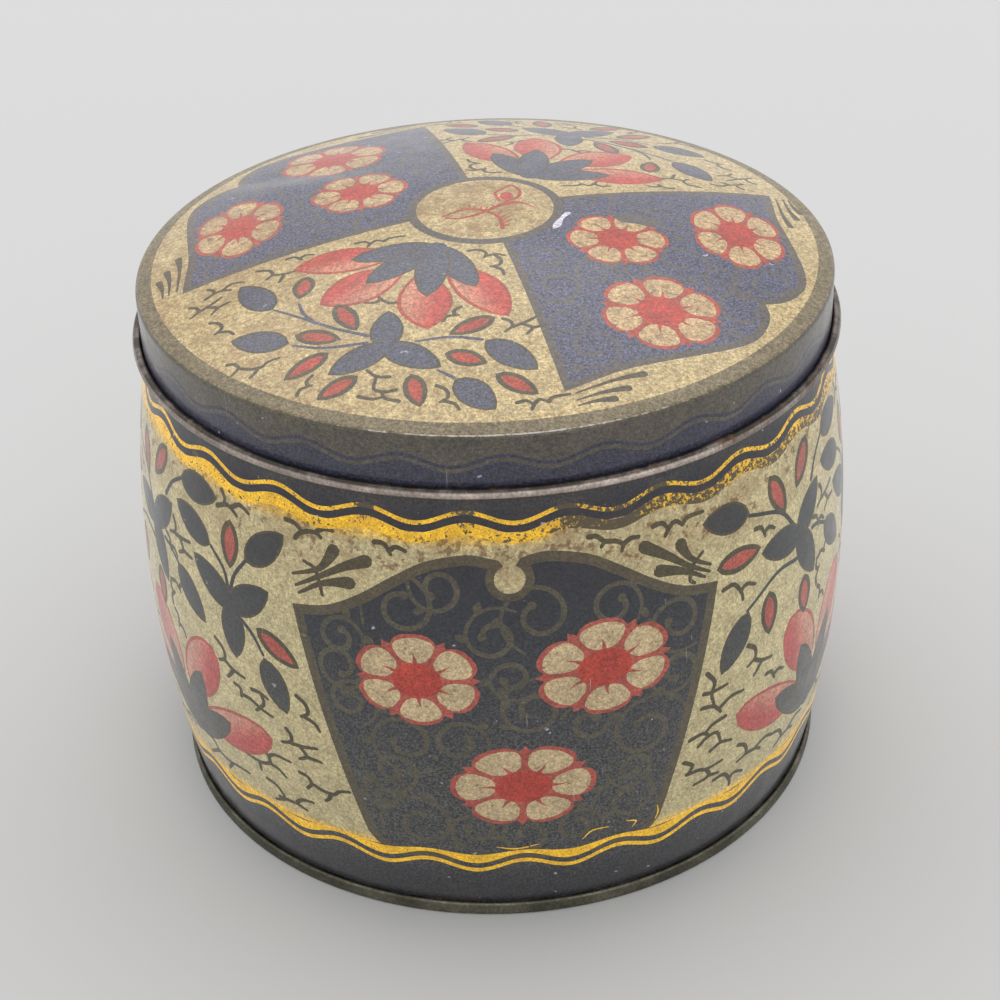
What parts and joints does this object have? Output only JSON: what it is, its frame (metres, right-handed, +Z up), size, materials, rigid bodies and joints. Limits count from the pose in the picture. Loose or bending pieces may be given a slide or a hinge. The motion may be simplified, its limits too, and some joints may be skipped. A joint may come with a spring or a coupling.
{
  "type": "biscuit tin",
  "caption": "Round barrel-bellied biscuit tin of printed tinplate with a domed slip lid that lifts off a straight neck, a wired rolled rim, a lock side seam and a double-seamed base.",
  "frame": {"origin": "centre of the base at floor level", "axes": "+Z up along the tin's axis, front towards -Y, side seam at the back (+Y)"},
  "size_m": [0.1606, 0.1606, 0.1323],
  "materials": {
    "printed_body": "varnished print on tinplate, worn",
    "printed_lid": "varnished print on tinplate, worn",
    "base_tinplate": "dull tarnished tinplate",
    "solder": "dull solder",
    "iron_wire": "dull iron wire"
  },
  "bodies": {
    "tin_body": {"body_wall": "printed_body", "side_seam_solder": "solder", "base_pan": "base_tinplate"},
    "lid": {"lid_shell": "printed_lid", "lid_rim_wire": "iron_wire"}
  },
  "joints": [
    {"name": "lid_lift", "type": "slide", "parent": "tin_body", "child": "lid", "axis": [0, 0, 1], "range_m": [0, 0.15]}
  ]
}
